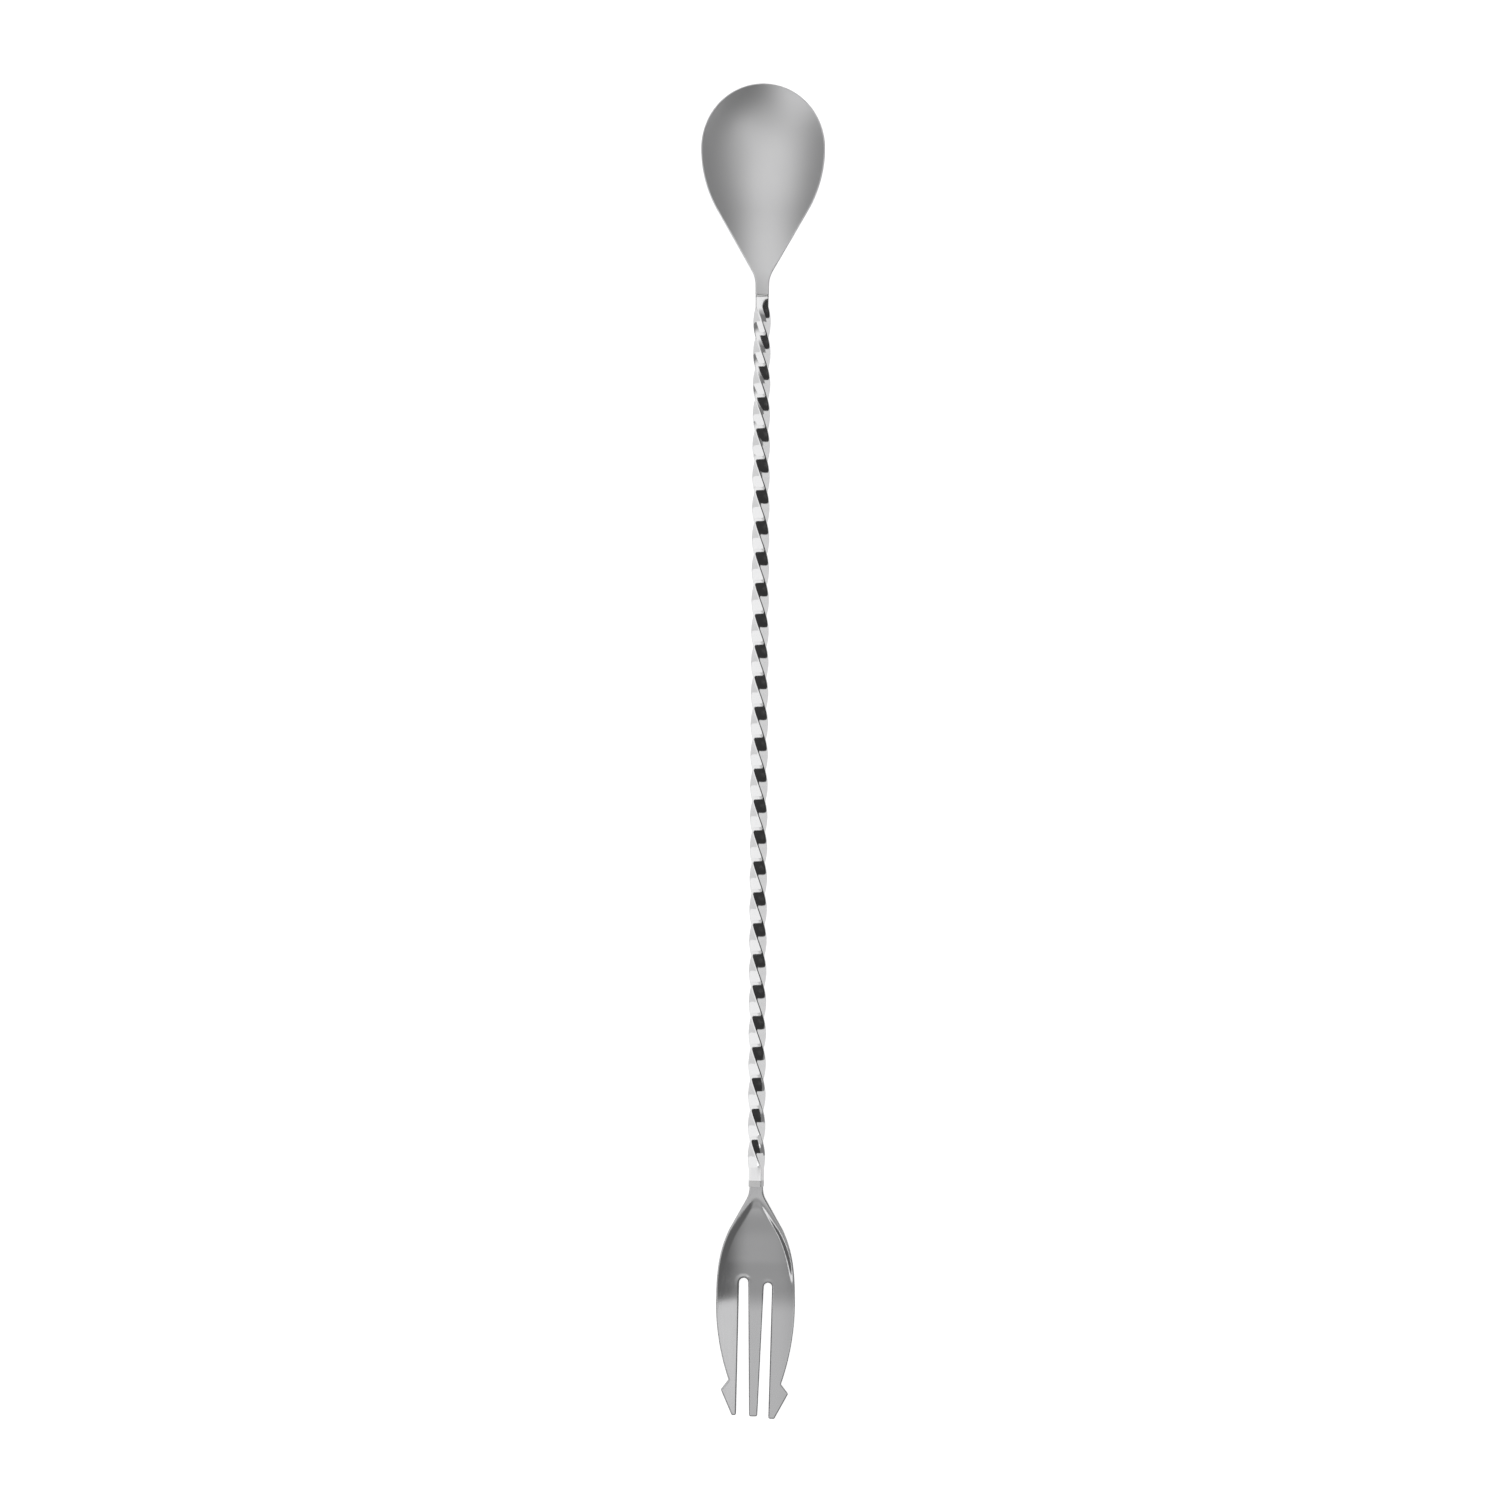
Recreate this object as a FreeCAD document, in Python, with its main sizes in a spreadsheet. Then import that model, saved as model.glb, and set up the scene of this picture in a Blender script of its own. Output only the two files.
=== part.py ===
import FreeCAD, Part
import os
from math import atan2, cos, pi, sin, sqrt, tan

V = FreeCAD.Vector

# A bar spoon lying bowl upwards on a level surface. Millimetres.
# X is to the right, Y runs along the stem towards the bowl, Z is up.
# The origin is under the middle of the spoon, on the surface it lies on.

doc = FreeCAD.newDocument("bar_spoon")

# ---------------------------------------------------------------- driving sizes
sheet = doc.addObject("Spreadsheet::Sheet", "Sizes")
sizes = {
    # the square bar that the stem is made of, and that both heads end in
    "bar_side": 3.0,
    "bar_corner": 0.32,
    # the stem
    "twist_length": 193.3,
    "quarter_turns": 27.86,
    "bowl_end_straight": 2.1,
    "fork_end_straight": 2.8,
    # the welds, ground flush with the bar
    "bowl_weld_length": 0.7,
    "fork_weld_length": 1.4,
    # the bowl
    "bowl_length": 47.3,
    "bowl_width": 27.86,
    "bowl_front": 14.6,
    "bowl_flank_radius": 28.0,
    "bowl_neck_straight": 1.95,
    "bowl_neck_shoulder": 0.05,
    "bowl_neck_fillet": 6.5,
    "bowl_hollow_depth": 5.0,
    "bowl_wall": 1.0,
    "bowl_rim_land": 0.8,
    "bowl_neck_runout": 20.0,
    # the fork
    "fork_length": 52.4,
    "fork_width": 17.6,
    "fork_widest": 24.2,
    "fork_shoulder_start": 9.7,
    "fork_shoulder_start_inset": 2.8,
    "fork_shoulder_middle": 14.2,
    "fork_shoulder_middle_inset": 1.15,
    "fork_shoulder_end": 18.7,
    "fork_shoulder_end_inset": 0.32,
    "fork_neck_shoulder": 0.05,
    "fork_neck_straight": 0.4,
    "fork_neck_fillet": 5.0,
    "fork_neck_level": 1.8,
    "fork_wall": 1.6,
    "fork_tip_wall": 1.2,
    "fork_tip_lift": 0.9,
    "fork_belly": 29.0,
    "fork_dish_radius": 30.0,
    # the slots between the tines: end of the slot, then its middle and width there and at the mouth
    "left_slot_top": 20.7,
    "left_slot_top_middle": 2.68,
    "left_slot_top_width": 2.05,
    "left_slot_mouth_middle": 2.75,
    "left_slot_mouth_width": 2.9,
    "right_slot_top": 21.8,
    "right_slot_top_middle": 2.77,
    "right_slot_top_width": 1.85,
    "right_slot_mouth_middle": 1.8,
    "right_slot_mouth_width": 2.47,
    # the barbs on the outer tines, as half widths and distances back from the fork's end
    "left_tip_back": 0.8,
    "left_tip_width": 1.0,
    "left_barb_back": 6.6,
    "left_barb_half": 7.7,
    "left_notch_back": 8.8,
    "left_notch_half": 5.95,
    "right_tip_back": 0.0,
    "right_tip_width": 1.35,
    "right_barb_back": 5.7,
    "right_barb_half": 7.5,
    "right_notch_back": 7.8,
    "right_notch_half": 5.85,
    "middle_tip_back": 0.5,
}
for row, (name, value) in enumerate(sizes.items(), start=1):
    sheet.set("A%d" % row, name)
    sheet.set("B%d" % row, str(value))
    sheet.setAlias("B%d" % row, name)
doc.recompute()


def size(name):
    return float(sheet.get(name))


# ---------------------------------------------------------------- places along the spoon
bar = size("bar_side")
stem_length = size("bowl_end_straight") + size("twist_length") + size("fork_end_straight")
welds = size("bowl_weld_length") + size("fork_weld_length")
whole_length = size("bowl_length") + stem_length + welds + size("fork_length")

bowl_tip_y = whole_length / 2
bowl_end_y = bowl_tip_y - size("bowl_length")
stem_top_y = bowl_end_y - size("bowl_weld_length")
twist_top_y = stem_top_y - size("bowl_end_straight")
twist_end_y = twist_top_y - size("twist_length")
stem_end_y = twist_end_y - size("fork_end_straight")
fork_top_y = stem_end_y - size("fork_weld_length")
fork_end_y = fork_top_y - size("fork_length")

rim_z = size("bowl_hollow_depth") + size("bowl_wall")
bar_z = rim_z - bar / 2
# how far the bar is turned about its own axis after the twist, in degrees
end_turn = -90 * size("quarter_turns") % 90


# ---------------------------------------------------------------- helpers
def new_body(name):
    body = doc.addObject("PartDesign::Body", name)
    body.Label = name
    return body


def sketch_on(body, role, name):
    sketch = body.newObject("Sketcher::SketchObject", name)
    plane = next(item for item in body.Origin.OriginFeatures if item.Role == role)
    sketch.AttachmentSupport = (plane, [""])
    sketch.MapMode = "FlatFace"
    return sketch


def line(start, end):
    return Part.LineSegment(V(start[0], start[1], 0), V(end[0], end[1], 0))


def arc(start, middle, end):
    return Part.Arc(V(start[0], start[1], 0), V(middle[0], middle[1], 0), V(end[0], end[1], 0))


def curve(points):
    spline = Part.BSplineCurve()
    spline.interpolate([V(x, y, 0) for x, y in points])
    return spline


def add_square(sketch):
    """The bar's section: a square with rounded corners, round the sketch's own centre."""
    half = bar / 2
    corner = size("bar_corner")
    for quarter in range(4):
        turn = FreeCAD.Rotation(V(0, 0, 1), 90 * quarter)
        side = [turn.multVec(V(half - corner, half, 0)), turn.multVec(V(corner - half, half, 0))]
        sketch.addGeometry(Part.LineSegment(side[0], side[1]), False)
        centre = turn.multVec(V(corner - half, half - corner, 0))
        circle = Part.Circle(centre, V(0, 0, 1), corner)
        start = pi / 2 * (quarter + 1)
        sketch.addGeometry(Part.ArcOfCircle(circle, start, start + pi / 2), False)


def bar_sketch(body, name, y, turned=0.0):
    """The bar's section across the spoon at y, turned about the bar's axis."""
    sketch = sketch_on(body, "XZ_Plane", name)
    sketch.AttachmentOffset = FreeCAD.Placement(V(0, bar_z, -y), FreeCAD.Rotation(V(0, 0, 1), turned))
    add_square(sketch)
    return sketch


def pad(body, sketch, name, length, reversed_way=False, both_ways=False):
    feature = body.newObject("PartDesign::Pad", name)
    feature.Profile = sketch
    feature.setExpression("Length", length)
    feature.Reversed = reversed_way
    feature.Midplane = both_ways
    return feature


def bar_piece(name, y, length, turned=0.0):
    """A short straight length of the square bar, from y towards the fork."""
    body = new_body(name)
    pad(body, bar_sketch(body, name + "_section", y, turned), name + "_bar", length)
    return body


# ---------------------------------------------------------------- the twisted stem
def twisted_stem():
    body = new_body("twisted_stem")
    top = bar_sketch(body, "top_section", stem_top_y)
    pad(body, top, "top_straight", "Sizes.bowl_end_straight")
    doc.recompute()

    path = sketch_on(body, "YZ_Plane", "twist_axis")
    path.addGeometry(line((twist_top_y, bar_z), (twist_end_y, bar_z)), False)
    guide = doc.addObject("Part::Helix", "twist_guide")
    guide.setExpression("Height", "Sizes.twist_length")
    guide.setExpression("Pitch", "Sizes.twist_length * 4 / Sizes.quarter_turns")
    guide.setExpression("Radius", "Sizes.bar_side * 4")
    guide.LocalCoord = "Left-handed"
    guide.Placement = FreeCAD.Placement(V(0, twist_top_y, bar_z), FreeCAD.Rotation(V(1, 0, 0), 90))
    doc.recompute()

    twist = body.newObject("PartDesign::AdditivePipe", "twist")
    twist.Profile = bar_sketch(body, "twist_section", twist_top_y)
    twist.Spine = (path, [""])
    twist.Mode = "Auxiliary"
    twist.AuxiliarySpine = (guide, [""])
    twist.AuxiliaryCurvilinear = True
    doc.recompute()

    end = bar_sketch(body, "end_section", twist_end_y, end_turn)
    pad(body, end, "end_straight", "Sizes.fork_end_straight")
    return body


# ---------------------------------------------------------------- the bowl
def bowl_side():
    """The bowl's side seen from above, as places measured back from the tip.

    A flank arc from the widest point, a straight taper tangent to it, and a fillet into the neck.
    """
    half = size("bowl_width") / 2
    front = size("bowl_front")
    neck = bar / 2 + size("bowl_neck_shoulder")
    fillet = size("bowl_neck_fillet")
    end = size("bowl_length") - size("bowl_neck_straight")
    inward = half - neck
    along = end - front
    largest = (inward ** 2 + along ** 2) / (2 * inward) - fillet
    flank = min(size("bowl_flank_radius"), 0.99 * largest)
    both = flank + fillet
    straight = sqrt((both - inward) ** 2 + along ** 2 - both ** 2)
    taper = atan2(along, both - inward) - atan2(straight, both)
    flank_end = front + flank * sin(taper)
    fillet_start = end - fillet * sin(taper)
    return half, front, neck, fillet, end, flank, taper, flank_end, fillet_start


def bowl_half_width(back, inset=0.0):
    """Half the bowl's width at a distance back from its tip, less an inset."""
    half, front, neck, fillet, end, flank, taper, flank_end, fillet_start = bowl_side()
    if back < front:
        return (half - inset) * sqrt(max(0.0, 1 - ((front - back) / (front - inset)) ** 2))
    if back < flank_end:
        outer = half - flank + sqrt(flank ** 2 - (back - front) ** 2)
    elif back < fillet_start:
        outer = half - flank * (1 - cos(taper)) - (back - flank_end) * tan(taper)
    elif back < end:
        outer = neck + fillet - sqrt(fillet ** 2 - (end - back) ** 2)
    else:
        outer = neck
    return max(0.0, outer - inset)


def bowl_hollow_depth(back):
    """Depth of the hollow below the rim, on the spoon's middle line."""
    land = size("bowl_rim_land")
    deep = size("bowl_hollow_depth")
    widest = size("bowl_width") / 2 - land
    raised = (widest ** 2 - deep ** 2) / (2 * deep)
    return sqrt(raised ** 2 + bowl_half_width(back, land) ** 2) - raised


def bowl_axis_height():
    widest = size("bowl_width") / 2 - size("bowl_rim_land")
    deep = size("bowl_hollow_depth")
    return rim_z + (widest ** 2 - deep ** 2) / (2 * deep)


def bowl_wall_line(share):
    """The line in the wall's thickness: 0 is the hollow's face, 1 the outer face."""
    land = size("bowl_rim_land")
    last = size("bowl_length") - land
    steps = 26
    points = []
    for step in range(steps + 1):
        back = land + (last - land) * (1 - cos(pi * step / steps)) / 2
        ahead = back + 0.02
        slope = (bowl_hollow_depth(ahead) - bowl_hollow_depth(back)) / 0.02
        tilt = sqrt(1 + slope ** 2)
        out = share * size("bowl_wall")
        y = bowl_tip_y - back + out * slope / tilt
        points.append((y, rim_z - bowl_hollow_depth(back) - out / tilt))
    return points


def bowl_outline():
    """Edges of the bowl's outline seen from above, closed, in the XY plane."""
    half, front, neck, fillet, end, flank, taper, flank_end, fillet_start = bowl_side()
    widest_y = bowl_tip_y - front
    tip = V(0, bowl_tip_y, 0)
    side_point = V(half, widest_y, 0)
    centre = V(0, widest_y, 0)
    if front >= half:
        edges = [Part.ArcOfEllipse(Part.Ellipse(tip, side_point, centre), -pi / 2, pi / 2)]
    else:
        edges = [Part.ArcOfEllipse(Part.Ellipse(side_point, tip, centre), 0, pi)]

    for side in (1, -1):
        def at(back):
            return (side * bowl_half_width(back), bowl_tip_y - back)
        edges.append(arc(at(front), at((front + flank_end) / 2), at(flank_end)))
        edges.append(line(at(flank_end), at(fillet_start)))
        edges.append(arc(at(fillet_start), at((fillet_start + end) / 2), at(end)))
        edges.append(line(at(end), (side * neck, bowl_end_y)))
    edges.append(line((neck, bowl_end_y), (-neck, bowl_end_y)))
    return edges


def add_frame(sketch, left, right, low, high):
    """A rectangle round an outline, so that a pocket cuts away what is outside the outline."""
    corners = [(left, low), (right, low), (right, high), (left, high)]
    for start, end in zip(corners, corners[1:] + corners[:1]):
        sketch.addGeometry(line(start, end), False)


def trim(body, name, sketch):
    """Cut through the whole body both ways with the sketch."""
    feature = body.newObject("PartDesign::Pocket", name)
    feature.Profile = sketch
    feature.Type = "ThroughAll"
    feature.Midplane = True
    return feature


def revolve(body, name, profile, angle):
    """Turn a wall profile about its own construction line, half the angle each way."""
    feature = body.newObject("PartDesign::Revolution", name)
    feature.Profile = profile
    feature.ReferenceAxis = (profile, ["Axis0"])
    feature.Angle = angle
    feature.Midplane = True
    return feature


def spoon_bowl():
    body = new_body("spoon_bowl")
    inner = bowl_wall_line(0)
    outer = bowl_wall_line(1)
    wall = size("bowl_wall")

    profile = sketch_on(body, "YZ_Plane", "wall_profile")
    lip_top = rim_z + wall
    lip_back = inner[0][0]
    lip_front = bowl_tip_y + wall
    outside = [outer[0], (lip_front, lip_top), (lip_back, lip_top), inner[0]]
    for start, end in zip(outside, outside[1:]):
        profile.addGeometry(line(start, end), False)
    profile.addGeometry(curve(inner), False)
    inside = [inner[-1], (bowl_end_y, rim_z), (bowl_end_y, rim_z - wall), outer[-1]]
    for start, end in zip(inside, inside[1:]):
        profile.addGeometry(line(start, end), False)
    profile.addGeometry(curve(outer), False)
    axis = bowl_axis_height()
    profile.addGeometry(line((bowl_end_y, axis), (bowl_tip_y, axis)), True)
    revolve(body, "dish", profile, 180)
    doc.recompute()

    # the neck: the bar thins away under the bowl's wall
    middle = bowl_wall_line(0.5)
    neck = sketch_on(body, "YZ_Plane", "neck_side")
    runout_y = bowl_end_y + size("bowl_neck_runout")
    under = [point for point in middle if bowl_end_y + bar < point[0] < runout_y]
    level = [(bowl_end_y, rim_z - bar), (bowl_end_y, rim_z), (bowl_end_y + bar / 2, rim_z), under[-1]]
    for start, end in zip(level, level[1:]):
        neck.addGeometry(line(start, end), False)
    neck.addGeometry(curve(under[::-1]), False)
    heel = (bowl_end_y + bar, rim_z - bar)
    sag = ((heel[0] + under[0][0]) / 2, (heel[1] + under[0][1]) / 2 - 0.15 * bar)
    neck.addGeometry(arc(under[0], sag, heel), False)
    neck.addGeometry(line(heel, level[0]), False)
    pad(body, neck, "neck_bar", "Sizes.bar_side", both_ways=True)
    doc.recompute()

    # cut the wall level at the rim, then to the outline of the blank
    above = sketch_on(body, "YZ_Plane", "above_rim")
    high = axis + size("bowl_width")
    add_frame(above, bowl_end_y - bar, bowl_tip_y + bar, rim_z, high)
    trim(body, "level_rim", above)
    doc.recompute()
    outside = sketch_on(body, "XY_Plane", "outside_outline")
    reach = size("bowl_width")
    add_frame(outside, -reach, reach, bowl_end_y, bowl_tip_y + bar)
    for edge in bowl_outline():
        outside.addGeometry(edge, False)
    trim(body, "outline", outside)
    return body


# ---------------------------------------------------------------- the fork
def fork_profile_lines():
    """Upper and lower lines of the fork's wall on the middle line, from the neck to the tips.

    The fork sinks from the bar to its belly in an even S, then rises a little to its tips.
    """
    wall = size("fork_wall")
    straight_y = fork_top_y - size("fork_neck_level")
    belly_y = fork_top_y - size("fork_belly")
    drop = rim_z - wall
    steps = 8
    upper = []
    lower = []
    for step in range(steps + 1):
        share = (1 + cos(pi * step / steps)) / 2
        y = straight_y + (belly_y - straight_y) * step / steps
        z = wall + drop * share
        upper.append((y, z))
        lower.append((y, z - wall - (bar - wall) * share))
    for step in range(1, steps + 1):
        share = (step / steps) ** 2
        y = belly_y + (fork_end_y - belly_y) * step / steps
        z = size("fork_tip_lift") * share
        upper.append((y, z + wall + (size("fork_tip_wall") - wall) * share))
        lower.append((y, z))
    return upper, lower


def fork_flank():
    """The fork's side above its widest point, as half widths and places along the spoon.

    A neck fillet tangent to the neck and to a straight taper, a shoulder arc and a flank arc.
    """
    half = size("fork_width") / 2
    neck = bar / 2 + size("fork_neck_shoulder")
    fillet = size("fork_neck_fillet")
    start_y = fork_top_y - size("fork_neck_straight")
    first = (half - size("fork_shoulder_start_inset"), fork_top_y - size("fork_shoulder_start"))
    second = (half - size("fork_shoulder_middle_inset"), fork_top_y - size("fork_shoulder_middle"))
    third = (half - size("fork_shoulder_end_inset"), fork_top_y - size("fork_shoulder_end"))
    widest_y = fork_top_y - size("fork_widest")
    swell = (half - size("fork_shoulder_end_inset") / 4, (third[1] + widest_y) / 2)

    centre = (neck + fillet, start_y)
    across = centre[0] - first[0]
    along = centre[1] - first[1]
    reach = sqrt(across ** 2 + along ** 2)
    taper = atan2(along, across) - atan2(sqrt(reach ** 2 - fillet ** 2), fillet)
    fillet_end = (centre[0] - fillet * cos(taper), start_y - fillet * sin(taper))
    fillet_mid = (centre[0] - fillet * cos(taper / 2), start_y - fillet * sin(taper / 2))
    return neck, start_y, fillet_mid, fillet_end, first, second, third, swell, (half, widest_y)


def fork_outline():
    """Edges of the fork's outline seen from above, with its slots and barbs."""
    neck, start_y, fillet_mid, fillet_end, first, second, third, swell, widest = fork_flank()
    half = widest[0]
    edges = [line((neck, fork_top_y), (-neck, fork_top_y))]
    ends = {}
    for side, hand in ((-1, "left"), (1, "right")):
        def at(point):
            return (side * point[0], point[1])
        notch = (size(hand + "_notch_half"), fork_end_y + size(hand + "_notch_back"))
        barb = (size(hand + "_barb_half"), fork_end_y + size(hand + "_barb_back"))
        mouth = size(hand + "_slot_mouth_middle") + size(hand + "_slot_mouth_width") / 2
        tip_y = fork_end_y + size(hand + "_tip_back")
        tip = (mouth + size(hand + "_tip_width"), tip_y)
        fall = (half - 0.2 * (half - notch[0]), widest[1] - 0.52 * (widest[1] - notch[1]))
        edges.append(line(at((neck, fork_top_y)), at((neck, start_y))))
        edges.append(arc(at((neck, start_y)), at(fillet_mid), at(fillet_end)))
        edges.append(line(at(fillet_end), at(first)))
        edges.append(arc(at(first), at(second), at(third)))
        edges.append(arc(at(third), at(swell), at(widest)))
        edges.append(arc(at(widest), at(fall), at(notch)))
        edges.append(line(at(notch), at(barb)))
        edges.append(line(at(barb), at(tip)))
        edges.append(line(at(tip), at((mouth, tip_y))))
        ends[hand] = at((mouth, tip_y))
    edges += slot_edges(ends)
    return edges


def slot_edges(ends):
    """The two slots and the middle tine's tip, joining the outer tines' tips."""
    edges = []
    tip_y = fork_end_y + size("middle_tip_back")
    inner = {}
    for side, hand in ((-1, "left"), (1, "right")):
        middle = side * size(hand + "_slot_top_middle")
        radius = size(hand + "_slot_top_width") / 2
        crown_y = fork_top_y - size(hand + "_slot_top")
        spring_y = crown_y - radius
        outer_top = (middle + side * radius, spring_y)
        inner_top = (middle - side * radius, spring_y)
        mouth = side * (size(hand + "_slot_mouth_middle") - size(hand + "_slot_mouth_width") / 2)
        inner[hand] = (mouth, tip_y)
        edges.append(line(ends[hand], outer_top))
        edges.append(arc(outer_top, (middle, crown_y), inner_top))
        edges.append(line(inner_top, inner[hand]))
    edges.append(line(inner["left"], inner["right"]))
    return edges


def fork_head():
    body = new_body("fork_head")
    upper, lower = fork_profile_lines()
    profile = sketch_on(body, "YZ_Plane", "wall_profile")
    profile.addGeometry(curve(upper), False)
    profile.addGeometry(line(upper[-1], lower[-1]), False)
    profile.addGeometry(curve(lower[::-1]), False)
    profile.addGeometry(line(lower[0], upper[0]), False)
    axis = size("fork_wall") + size("fork_dish_radius")
    profile.addGeometry(line((fork_top_y, axis), (fork_end_y, axis)), True)
    revolve(body, "dish", profile, 60)
    doc.recompute()

    neck = bar_sketch(body, "neck_section", fork_top_y)
    pad(body, neck, "neck_bar", "Sizes.fork_neck_level + Sizes.bar_side / 2")
    doc.recompute()

    outside = sketch_on(body, "XY_Plane", "outside_outline")
    reach = size("fork_width")
    add_frame(outside, -reach, reach, fork_end_y - bar, fork_top_y + bar)
    for edge in fork_outline():
        outside.addGeometry(edge, False)
    trim(body, "outline", outside)
    return body


# ---------------------------------------------------------------- the spoon
pieces = [
    spoon_bowl(),
    bar_piece("bowl_weld", bowl_end_y, "Sizes.bowl_weld_length"),
    twisted_stem(),
    bar_piece("fork_weld", stem_end_y, "Sizes.fork_weld_length", end_turn),
    fork_head(),
]
doc.recompute()

for item in doc.Objects:
    if "Invalid" in item.State or "Error" in item.State:
        raise RuntimeError("%s failed: %s" % (item.Label, item.State))
for piece in pieces:
    shape = piece.Shape
    if shape.isNull() or not shape.isValid():
        raise RuntimeError("%s has no valid shape" % piece.Label)
    if len(shape.Solids) != 1:
        raise RuntimeError("%s is %d solids" % (piece.Label, len(shape.Solids)))

os.makedirs("parts", exist_ok=True)
for piece in pieces:
    piece.Shape.exportStep("parts/%s.step" % piece.Label)
    print("%-14s %8.1f mm3" % (piece.Label, piece.Shape.Volume))
print("length %.2f mm, rim %.2f mm above the surface" % (whole_length, rim_z))
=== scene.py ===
import bmesh
import bpy
import math
from mathutils import Matrix, Vector
from mathutils.kdtree import KDTree


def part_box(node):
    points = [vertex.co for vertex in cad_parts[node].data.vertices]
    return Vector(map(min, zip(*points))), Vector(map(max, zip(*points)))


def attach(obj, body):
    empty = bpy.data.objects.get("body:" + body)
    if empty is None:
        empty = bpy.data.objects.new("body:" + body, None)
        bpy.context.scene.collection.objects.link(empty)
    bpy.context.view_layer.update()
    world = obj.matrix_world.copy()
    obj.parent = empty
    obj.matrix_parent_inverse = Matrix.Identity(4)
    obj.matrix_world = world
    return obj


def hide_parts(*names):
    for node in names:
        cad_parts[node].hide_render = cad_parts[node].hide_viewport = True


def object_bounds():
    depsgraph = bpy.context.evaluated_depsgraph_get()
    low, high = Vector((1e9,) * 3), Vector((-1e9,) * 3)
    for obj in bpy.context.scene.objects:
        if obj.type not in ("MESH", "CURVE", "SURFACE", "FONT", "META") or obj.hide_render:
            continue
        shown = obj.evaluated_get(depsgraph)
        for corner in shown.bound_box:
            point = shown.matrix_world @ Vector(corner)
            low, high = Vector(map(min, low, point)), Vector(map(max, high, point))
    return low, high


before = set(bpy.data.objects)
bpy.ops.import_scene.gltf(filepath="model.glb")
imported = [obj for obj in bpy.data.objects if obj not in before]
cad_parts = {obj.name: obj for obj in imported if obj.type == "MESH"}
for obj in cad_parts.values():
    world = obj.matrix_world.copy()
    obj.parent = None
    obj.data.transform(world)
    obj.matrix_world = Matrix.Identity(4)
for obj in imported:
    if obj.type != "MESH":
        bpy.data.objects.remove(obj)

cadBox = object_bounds()
bowlLow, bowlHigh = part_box("spoon_bowl")
stemLow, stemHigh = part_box("twisted_stem")
forkLow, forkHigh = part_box("fork_head")
wholeLength = cadBox[1][1] - cadBox[0][1]

# the square bar that both heads and the stem share
bar = {
    "side": 0.0030,
    "corner": 0.00032,
    "cornerSteps": 5,
    "faceSteps": 8,
    "rimHeight": 0.0060,       # top of the bar and of the bowl's rim above the surface
}
barMiddleZ = bar["rimHeight"] - bar["side"] / 2
sharpAngle = math.radians(65)  # edges bent more than this stay crisp


def smoothStep(value):
    value = min(1.0, max(0.0, value))
    return value * value * (3 - 2 * value)


# turns a bmesh into an object that stands where its mesh says
def makeObject(bm, name, material):
    for face in bm.faces:
        face.smooth = True
    for edge in bm.edges:
        if len(edge.link_faces) == 2 and edge.calc_face_angle() > sharpAngle:
            edge.smooth = False
    mesh = bpy.data.meshes.new(name)
    bm.to_mesh(mesh)
    bm.free()
    obj = bpy.data.objects.new(name, mesh)
    bpy.context.scene.collection.objects.link(obj)
    obj.data.materials.append(material)
    return obj


def madeVerts(made):
    return [item for item in made["geom"] if isinstance(item, bmesh.types.BMVert)]


# the far side of an extruded strip
def farEdges(made, ring):
    return [item for item in made["geom"] if isinstance(item, bmesh.types.BMEdge)
            and all(vert in ring for vert in item.verts)]


# share of the full thickness at a distance in from a rounded edge
def edgeRound(distance, radius):
    if distance >= radius:
        return 1.0
    return math.sqrt(max(0.0, 1 - (1 - distance / radius) ** 2))


# two numbers or sockets put through a Math node
def mathNode(tree, operation, first, second):
    node = tree.nodes.new("ShaderNodeMath")
    node.operation = operation
    for socket, value in zip(node.inputs, (first, second)):
        if isinstance(value, float):
            socket.default_value = value
        else:
            tree.links.new(value, socket)
    return node.outputs[0]


def addSocket(group, name, kind, way, value=None):
    socket = group.interface.new_socket(name=name, in_out=way, socket_type=kind)
    if value is not None:
        socket.default_value = value


finishMarks = {
    "grainDetail": 3.0,
    "scratchScale": 2600.0,
    "scratchDetail": 5.0,
    "scratchStretch": (1.0, 0.04, 1.0),    # long hairlines along the spoon
    "scratchTurn": 0.12,
    "hazeScale": 70.0,
    "hazeDetail": 3.0,
}


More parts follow.
